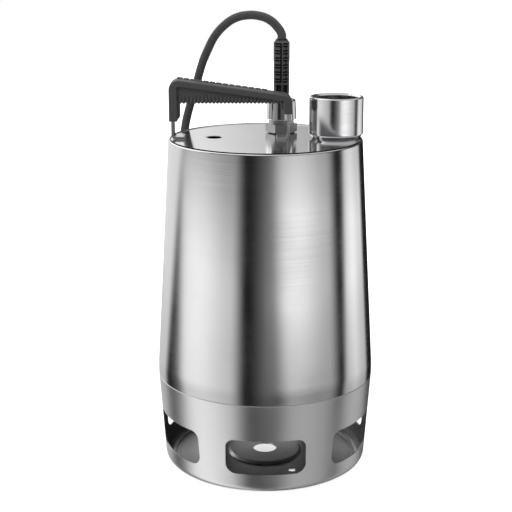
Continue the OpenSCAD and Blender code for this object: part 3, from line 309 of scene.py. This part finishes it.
def finish(name, color, rough, metallic=0.0, grain=(300, 300, 300), depth=0.0, rough_vary=0.06,
           tint_vary=0.06, patch_vary=0.08, edge=0.0, brushed=0.0, painted_shade=None):
    """A material with fine grain, slow patches, edges softened by edge mm and a brushed streak.

    depth is the grain's relief in mm, and painted_shade is (mask, grey, roughness) for a part of the
    material that is painted darker and duller, as painted shade.
    """
    made = bpy.data.materials.new(name)
    made.use_nodes = True
    t = Tree(made.node_tree)
    place = t.node("ShaderNodeTexCoord").outputs["Object"]
    fine_at = t.node("ShaderNodeMapping", {"Vector": place, "Scale": grain}).outputs[0]
    fine = t.node("ShaderNodeTexNoise",
                  {"Vector": fine_at, "Scale": 1.0, "Detail": 3.0, "Roughness": 0.6}).outputs["Fac"]
    slow = t.node("ShaderNodeTexNoise", {"Vector": place, "Scale": PATCHES, "Detail": 2.0}).outputs["Fac"]
    shade = t.math("ADD", t.fade(fine, 0.25, 0.75, -tint_vary, tint_vary),
                   t.fade(slow, 0.3, 0.7, -patch_vary, patch_vary))
    tint = t.node("ShaderNodeHueSaturation",
                  {"Color": (*color, 1.0), "Value": t.math("ADD", shade, 1.0)}).outputs[0]
    uneven = t.math("ADD", t.fade(fine, 0.25, 0.75, -rough_vary, rough_vary),
                    t.fade(slow, 0.3, 0.7, -rough_vary, rough_vary))
    dull = t.math("ADD", uneven, rough, clamp=True)
    # painted shade: where the mask is 1 the colour becomes a dark grey and the roughness another value
    if painted_shade:
        mask, grey, shade_rough = painted_shade
        amount = mask(t)
        tint = t.node("ShaderNodeMix", {0: amount, 6: tint, 7: (grey, grey, grey, 1.0)},
                      data_type="RGBA").outputs[2]
        dull = t.node("ShaderNodeMix", {0: amount, 2: dull, 3: shade_rough}).outputs[0]
    skin = t.node("ShaderNodeBsdfPrincipled", {"Base Color": tint, "Metallic": metallic, "Roughness": dull})
    normal = None
    if edge:
        normal = t.node("ShaderNodeBevel", {"Radius": edge * MM}, samples=4).outputs[0]
    if depth:
        bump = t.node("ShaderNodeBump", {"Height": fine, "Strength": 0.5, "Distance": depth * MM})
        if normal:
            t.set(bump, "Normal", normal)
        normal = bump.outputs[0]
    if normal:
        t.set(skin, "Normal", normal)
    if brushed:
        t.set(skin, "Anisotropic", brushed)
        t.set(skin, "Anisotropic Rotation", 0.25)
        t.set(skin, "Tangent", t.node("ShaderNodeTangent", direction_type="RADIAL", axis="Z").outputs[0])
    t.node("ShaderNodeOutputMaterial", {"Surface": skin.outputs[0]})
    return made


def facing(side):
    """A mask that is 1 where a wall faces the Z axis, for side -1, or faces away from it, for side 1."""
    def mask(t):
        coords = t.node("ShaderNodeTexCoord").outputs
        outward = t.node("ShaderNodeVectorMath", {0: coords["Object"], 1: (1, 1, 0)}, operation="MULTIPLY")
        turned = t.node("ShaderNodeVectorMath", {0: outward.outputs[0], 1: coords["Normal"]},
                        operation="DOT_PRODUCT")
        return t.fade(turned.outputs["Value"], 0.0, 0.03 * side)
    return mask


MASK_SOFT = 0.15


def near_upright(x, y, r):
    """A mask that is 1 within r of an upright line through x and y."""
    def mask(t):
        away = t.node("ShaderNodeVectorMath", {0: t.node("ShaderNodeTexCoord").outputs["Object"],
                                               1: (-x * MM, -y * MM, 0)}, operation="ADD")
        flat = t.node("ShaderNodeVectorMath", {0: away.outputs[0], 1: (1, 1, 0)}, operation="MULTIPLY")
        length = t.node("ShaderNodeVectorMath", {0: flat.outputs[0]}, operation="LENGTH")
        return t.fade(length.outputs["Value"], (r - MASK_SOFT) * MM, (r + MASK_SOFT) * MM, 1.0, 0.0)
    return mask


VENT_AT = (-50.0, 4.0)
BOOT_AT = (16.0, 35.0)
ROUND_THE_AXIS = (5, 5, 2600)
# one for each material slot of the CAD
FINISHES = {
    "sleeve_steel": finish("sleeve_steel", (0.86, 0.86, 0.87), 0.16, 1.0, ROUND_THE_AXIS, 0.002,
                           rough_vary=0.03, tint_vary=0.025, patch_vary=0.015, brushed=0.6),
    # the strainer's walls that face its axis are painted a darker grey and duller: painted shade inside the
    # strainer
    "strainer_steel": finish("strainer_steel", (0.85, 0.85, 0.86), 0.33, 1.0, (8, 8, 1800), 0.003,
                             rough_vary=0.02, tint_vary=0.014, patch_vary=0.02, edge=0.3, brushed=0.3,
                             painted_shade=(facing(-1), 0.3, 0.5)),
    "polished_steel": finish("polished_steel", (0.88, 0.88, 0.89), 0.09, 1.0, (900, 25, 25), 0.0,
                             rough_vary=0.02, tint_vary=0.01, patch_vary=0.01, edge=0.35),
    "grip_plastic": finish("grip_plastic", (0.066, 0.066, 0.067), 0.46, grain=(2600, 2600, 2600),
                           depth=0.03, tint_vary=0.12, edge=0.3),
    "cable_rubber": finish("cable_rubber", (0.062, 0.062, 0.063), 0.52, grain=(900, 900, 900), depth=0.02,
                           tint_vary=0.1),
    # within 6.3 mm of the boot's axis, the core at the back of the slots, the rubber is painted near-black:
    # painted shade in the slots
    "boot_rubber": finish("boot_rubber", (0.07, 0.07, 0.071), 0.5, grain=(2200, 2200, 2200), depth=0.02,
                          tint_vary=0.12, edge=0.15, painted_shade=(near_upright(*BOOT_AT, 6.3), 0.008, 0.6)),
    "seal_rubber": finish("seal_rubber", (0.012, 0.012, 0.012), 0.5, grain=(2000, 2000, 2000), depth=0.01,
                          tint_vary=0.15),
    "cast_metal": finish("cast_metal", (0.30, 0.31, 0.32), 0.45, 0.8, (700, 700, 700), 0.06,
                         tint_vary=0.12, edge=0.5),
    "bearing_steel": finish("bearing_steel", (0.75, 0.75, 0.77), 0.16, 1.0, (20, 20, 900), 0.0, edge=0.2),
    "laminations": finish("laminations", (0.35, 0.35, 0.36), 0.4, 0.9, (4, 4, 2000), 0.05, tint_vary=0.3),
    "winding_copper": finish("winding_copper", (0.62, 0.26, 0.1), 0.3, 0.8, (40, 40, 1400), 0.12,
                             tint_vary=0.2),
    "rotor_aluminium": finish("rotor_aluminium", (0.7, 0.7, 0.72), 0.35, 0.9, (500, 500, 500), 0.04),
    "seal_ceramic": finish("seal_ceramic", (0.8, 0.78, 0.72), 0.2, 0.0, (300, 300, 300), 0.0),
    "seal_carbon": finish("seal_carbon", (0.05, 0.05, 0.05), 0.3, 0.0, (500, 500, 500), 0.0),
    "wire_plastic": finish("wire_plastic", (0.2, 0.09, 0.035), 0.4, 0.0, (300, 300, 300), 0.0),
    "capacitor_can": finish("capacitor_can", (0.7, 0.7, 0.72), 0.28, 0.9, (900, 20, 20), 0.0),
    "black_plastic": finish("black_plastic", (0.028, 0.028, 0.028), 0.42, grain=(1800, 1800, 1800),
                            depth=0.02, tint_vary=0.12, edge=0.4),
    "pin_brass": finish("pin_brass", (0.74, 0.71, 0.64), 0.22, 1.0, (900, 40, 40), 0.0, edge=0.2),
}

# the same metals where their surface was worked another way, some with painted shade (the vent, the seam's
# outer wall)
LOCAL_FINISHES = {
    "top_plate": finish("plate_steel", (0.88, 0.88, 0.89), 0.13, 1.0, (25, 900, 25), 0.0,
                        rough_vary=0.02, tint_vary=0.01, patch_vary=0.01, edge=0.35),
    "discharge_socket": finish("socket_steel", (0.82, 0.82, 0.83), 0.17, 1.0, (20, 20, 1500), 0.001,
                               rough_vary=0.03, tint_vary=0.02, patch_vary=0.01, edge=0.35),
    "connector_body": finish("connector_steel", (0.6, 0.6, 0.61), 0.42, 1.0, (500, 500, 500), 0.0,
                             rough_vary=0.04, tint_vary=0.04, edge=0.35),
    # within 7.5 mm of the vent's axis the steel is painted black: painted shade in the vent
    "vent_seat": finish("vent_steel_painted_shade", (0.88, 0.88, 0.89), 0.12, 1.0, (400, 400, 400), 0.0,
                        rough_vary=0.03, edge=0.3, painted_shade=(near_upright(*VENT_AT, 7.5), 0.01, 0.6)),
    "handle_strap": finish("strap_steel", (0.8, 0.8, 0.81), 0.3, 1.0, (900, 25, 25), 0.0,
                           rough_vary=0.03, tint_vary=0.02, edge=1.1),
    "base_plate": finish("base_steel", (0.5, 0.5, 0.51), 0.36, 1.0, (300, 300, 300), 0.0,
                         rough_vary=0.05, tint_vary=0.05, edge=0.12),
    # the seam's walls that face away from the axis are painted near-black: painted shade for the shadowed
    # gap at the joint
    "rim_seam": finish("seam_steel_painted_shade", (0.85, 0.85, 0.86), 0.2, 1.0, (400, 400, 400), 0.0,
                       rough_vary=0.03, painted_shade=(facing(1), 0.01, 0.6)),
    "pump_casing": finish("casing_iron", (0.2, 0.205, 0.21), 0.5, 0.8, (700, 700, 700), 0.06,
                          tint_vary=0.12, edge=0.5),
}

for row in frame["record"]["subparts"]:
    shape = nodes[row["node"]]
    shape.data.materials.clear()
    shape.data.materials.append(LOCAL_FINISHES.get(row["node"], FINISHES[row["material_slot"]]))
cable_curve.materials.append(FINISHES["cable_rubber"])


# ---------- moulded pieces ----------

def rounded(corners, inset=0.0, steps=6):
    """The points of an outline of (x, z, radius) corners, drawn in by inset, always as many points."""
    flat = [Vector(c[:2]) for c in corners]
    n = len(flat)
    turn = sum(flat[k].x * flat[(k + 1) % n].y - flat[(k + 1) % n].x * flat[k].y for k in range(n))
    inward = 1 if turn > 0 else -1
    points = []
    for k in range(n):
        u = (flat[k - 1] - flat[k]).normalized()
        v = (flat[(k + 1) % n] - flat[k]).normalized()
        cross = -u.x * v.y + u.y * v.x
        convex = cross * inward > 0
        half = math.acos(max(-1.0, min(1.0, u.dot(v)))) / 2
        middle = (u + v).normalized()
        at = flat[k] + middle * (inset if convex else -inset) / math.sin(half)
        r = max(corners[k][2] - inset, 0.04) if convex else corners[k][2] + inset
        centre = at + middle * r / math.sin(half)
        start, end = [at + w * r / math.tan(half) - centre for w in (u, v)]
        first = math.atan2(start.y, start.x)
        sweep_angle = (math.atan2(end.y, end.x) - first + 3 * math.pi) % (2 * math.pi) - math.pi
        for j in range(steps + 1):
            angle = first + sweep_angle * j / steps
            points.append((centre.x + r * math.cos(angle), centre.y + r * math.sin(angle)))
    return points


def loft(bm, rings):
    """Closed skin through rings of as many points each, with a face over both ends."""
    rows = [[bm.verts.new(Vector(point) * MM) for point in ring] for ring in rings]
    count = len(rows[0])
    for low, high in zip(rows, rows[1:]):
        for j in range(count):
            bm.faces.new((low[j], low[(j + 1) % count], high[(j + 1) % count], high[j]))
    bm.faces.new(rows[0][::-1])
    bm.faces.new(rows[-1])


def slab(bm, corners, y0, y1, edge, steps=4, place=None):
    """An outline in x and z made deep from y0 to y1, with its long edges rounded to radius edge.

    place moves each point, where it is given.
    """
    marks = [(edge * (1 - math.sin(a)), edge * (1 - math.cos(a)))
             for a in (math.pi / 2 * k / steps for k in range(steps + 1))]
    levels = [(inset, y0 + off) for inset, off in marks] + [(inset, y1 - off) for inset, off in marks[::-1]]
    rings = [[(x, y, z) for x, z in rounded(corners, inset)] for inset, y in levels]
    if place:
        rings = [[place(Vector(point)) for point in ring] for ring in rings]
    loft(bm, rings)


def lathe(bm, profile, at, steps=64):
    """A closed solid turned about a vertical axis, from its bottom middle to its top middle."""
    angles = [2 * math.pi * j / steps for j in range(steps)]
    loft(bm, [[(at[0] + r * math.cos(a), at[1] + r * math.sin(a), z) for a in angles] for r, z in profile])


def sector(bm, at, radii, azimuths, levels):
    """A block of a ring: its azimuths are in degrees from the front towards +X."""
    a0, a1 = azimuths
    steps = max(2, round((a1 - a0) / 6))
    arc = [math.radians(a0 + (a1 - a0) * j / steps) for j in range(steps + 1)]
    plan = [(at[0] + radii[1] * math.sin(a), at[1] - radii[1] * math.cos(a)) for a in arc]
    plan += [(at[0] + radii[0] * math.sin(a), at[1] - radii[0] * math.cos(a)) for a in arc[::-1]]
    loft(bm, [[(x, y, z) for x, y in plan] for z in levels])


def piece(name, bm, node, slot):
    """Turns a finished skin into a piece of the pump, which stands for a CAD node if one is named."""
    bmesh.ops.recalc_face_normals(bm, faces=bm.faces)
    mesh = bpy.data.meshes.new(name)
    bm.to_mesh(mesh)
    bm.free()
    mesh.polygons.foreach_set("use_smooth", [True] * len(mesh.polygons))
    mesh.set_sharp_from_angle(angle=math.radians(40))
    mesh.materials.append(LOCAL_FINISHES.get(name, FINISHES[slot]))
    made = bpy.data.objects.new(name, mesh)
    scene.collection.objects.link(made)
    made.modifiers.new("normals", "WEIGHTED_NORMAL").keep_sharp = True
    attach(made, "pump")
    if node:
        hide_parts(node)


# grip: a band bent over the strap, a recessed web with finger teeth, and ridges along its back
GRIP_LEFT, GRIP_RIGHT = -93.06, 25.74
GRIP_BAR = 6.5
GRIP_LEG = 8.1
GRIP_BACK_Z = 388.0
GRIP_FALL = 0.1372
GRIP_HALF = 12
GRIP_EDGE = 1.5
WEB_HALF = 8.5


def grip_top(x):
    return GRIP_BACK_Z - GRIP_FALL * (x - GRIP_LEFT)


in_left, in_right = GRIP_LEFT + GRIP_LEG, GRIP_RIGHT - GRIP_LEG
bm = bmesh.new()
slab(bm, [(GRIP_LEFT, 346.8, 0.8), (GRIP_LEFT, GRIP_BACK_Z, 9), (GRIP_RIGHT, grip_top(GRIP_RIGHT), 9),
          (GRIP_RIGHT, 354, 0.8), (in_right, 354, 0.8), (in_right, grip_top(in_right) - GRIP_BAR, 1.5),
          (in_left, grip_top(in_left) - GRIP_BAR, 1.5), (in_left, 346.8, 0.8)],
     -GRIP_HALF, GRIP_HALF, GRIP_EDGE, 5)
slab(bm, [(in_left - 2, 349.7, 0.3), (in_left + 1.9, 349.7, 0.3), (in_left + 1.9, 365, 0.6),
          (in_right + 2, 365, 0.6), (in_right + 2, grip_top(in_right) - 4, 1),
          (in_left - 2, grip_top(in_left) - 4, 1)], -WEB_HALF, WEB_HALF, 0.3, 2)
TOOTH_PITCH = 3.6
TOOTH_FIRST = -82.26
TOOTH_COUNT = 28
# the height, half depth and half width of a tooth, from its tip upwards
TOOTH = [(363.9, 8.2, 0.8), (364.1, 8.8, 1.15), (364.6, 9.3, 1.45), (365.5, 9.7, 1.6), (367.5, 9.9, 1.65),
         (369.5, 9.6, 1.65), (371.5, 9.1, 1.6), (374, 8.3, 1.5)]
TOOTH_TOP = TOOTH[-1][0]
TOOTH_ROUND = 0.98
for k in range(TOOTH_COUNT):
    x = TOOTH_FIRST + k * TOOTH_PITCH
    roof = grip_top(x) - GRIP_BAR / 2
    rings = []
    for z, reach, wide in TOOTH:
        corner = wide * TOOTH_ROUND
        plan = [(x - wide, -reach, corner), (x + wide, -reach, corner),
                (x + wide, reach, corner), (x - wide, reach, corner)]
        level = min(z, roof - 0.01 * (TOOTH_TOP - z))
        rings.append([(px, py, level) for px, py in rounded(plan, steps=5)])
    loft(bm, rings)
RIDGE_PITCH = 6.3
RIDGE_FIRST = GRIP_LEFT + 7.4
RIDGE_LONG = 5.4
RIDGE_COUNT = 14
tilt = math.atan(GRIP_FALL)
for k in range(RIDGE_COUNT):
    x = RIDGE_FIRST + k * RIDGE_PITCH

    def lay(point, x=x):
        u, w = point.x, point.z
        return (x + u * math.cos(tilt) + w * math.sin(tilt), point.y,
                grip_top(x) - u * math.sin(tilt) + w * math.cos(tilt))

    slab(bm, [(0, -2, 0.1), (0, 0.8, 0.6), (RIDGE_LONG, 0.8, 0.6), (RIDGE_LONG, -2, 0.1)],
         3, 11, 0.5, 3, lay)
piece("grip_moulding", bm, "handle_grip", "grip_plastic")

# the joint between the top plate and the sleeve's rim: a low lip whose outer wall is painted near-black, as
# painted shade for the shadowed gap at the joint
SEAM_Z = 329.5
SEAM_STEPS = 160
bm = bmesh.new()
section = [(91.7, SEAM_Z - 1), (91.7, SEAM_Z), (92.3, SEAM_Z + 0.85), (92.5, SEAM_Z + 0.95),
           (92.85, SEAM_Z + 0.95), (93.0, SEAM_Z + 0.8), (93.0, SEAM_Z - 1)]
rows = []
for k in range(SEAM_STEPS):
    angle = 2 * math.pi * k / SEAM_STEPS
    rows.append([bm.verts.new(Vector((r * math.cos(angle), r * math.sin(angle), z)) * MM)
                 for r, z in section])
for k, row in enumerate(rows):
    ahead = rows[(k + 1) % SEAM_STEPS]
    for j in range(len(section)):
        bm.faces.new((row[j - 1], row[j], ahead[j], ahead[j - 1]))
piece("rim_seam", bm, None, "polished_steel")

# boot: a core with upright walls and pairs of slots between thick and thin bars, whose spans are in
# degrees and repeat on the other half
BOOT_CORE, THIN_OUT, BOOT_OUT = 5.0, 7.5, 7.75
OVERLAP = 0.3
BOOT_WALLS = [(0.5, 9), (54, 88), (-90, -66)]
BOOT_WALLS_Z = (376.9, 418.5)
THICK_BARS = [(-66, -11), (9, 29), (40, 54)]
THIN_BARS = [(-66, -11), (9, 54)]
POCKET_WALLS = [(-1, 10), (53, 92), (-92, -47)]
POCKET_Z = (368.8, 377.0)
LAST_BAR_Z = 377.4
LAST_BAR = [(-92, 92)]
SLOT_H = 1.65
PAIR_COUNT = 6
PAIR_PITCH = 6.9
PAIR_GAP = 2.65
FIRST_SLOT = 417.6
bm = bmesh.new()
lathe(bm, [(0.3, 332.5), (7.1, 332.5), (7.1, 355.9), (10.7, 355.9), (10.7, 359.3), (7.4, 359.3),
           (7.5, 359.8), (7.5, 369), (BOOT_CORE, 369), (BOOT_CORE, 418.4), (7.7, 418.4), (7.65, 418.6),
           (5.3, 421.9), (5.1, 422.1), (0.3, 422.1)], BOOT_AT)
thick, thin = (BOOT_CORE - OVERLAP, BOOT_OUT), (BOOT_CORE - OVERLAP, THIN_OUT)
for turned in (0, 180):
    def around(spans):
        return [(a0 + turned, a1 + turned) for a0, a1 in spans]

    for span in around(BOOT_WALLS):
        sector(bm, BOOT_AT, thick, span, BOOT_WALLS_Z)
    for span in around(POCKET_WALLS):
        sector(bm, BOOT_AT, thick, span, POCKET_Z)
    for k in range(PAIR_COUNT):
        is_last = k == PAIR_COUNT - 1
        upper = FIRST_SLOT - k * PAIR_PITCH
        lower = upper - PAIR_GAP
        for span in around(THIN_BARS):
            sector(bm, BOOT_AT, thin, span, (lower + SLOT_H / 2, upper - SLOT_H / 2))
        bottom = LAST_BAR_Z if is_last else upper - PAIR_PITCH + SLOT_H / 2
        for span in around(LAST_BAR if is_last else THICK_BARS):
            sector(bm, BOOT_AT, thick, span, (bottom, lower - SLOT_H / 2))
piece("boot_moulding", bm, "cable_boot", "boot_rubber")
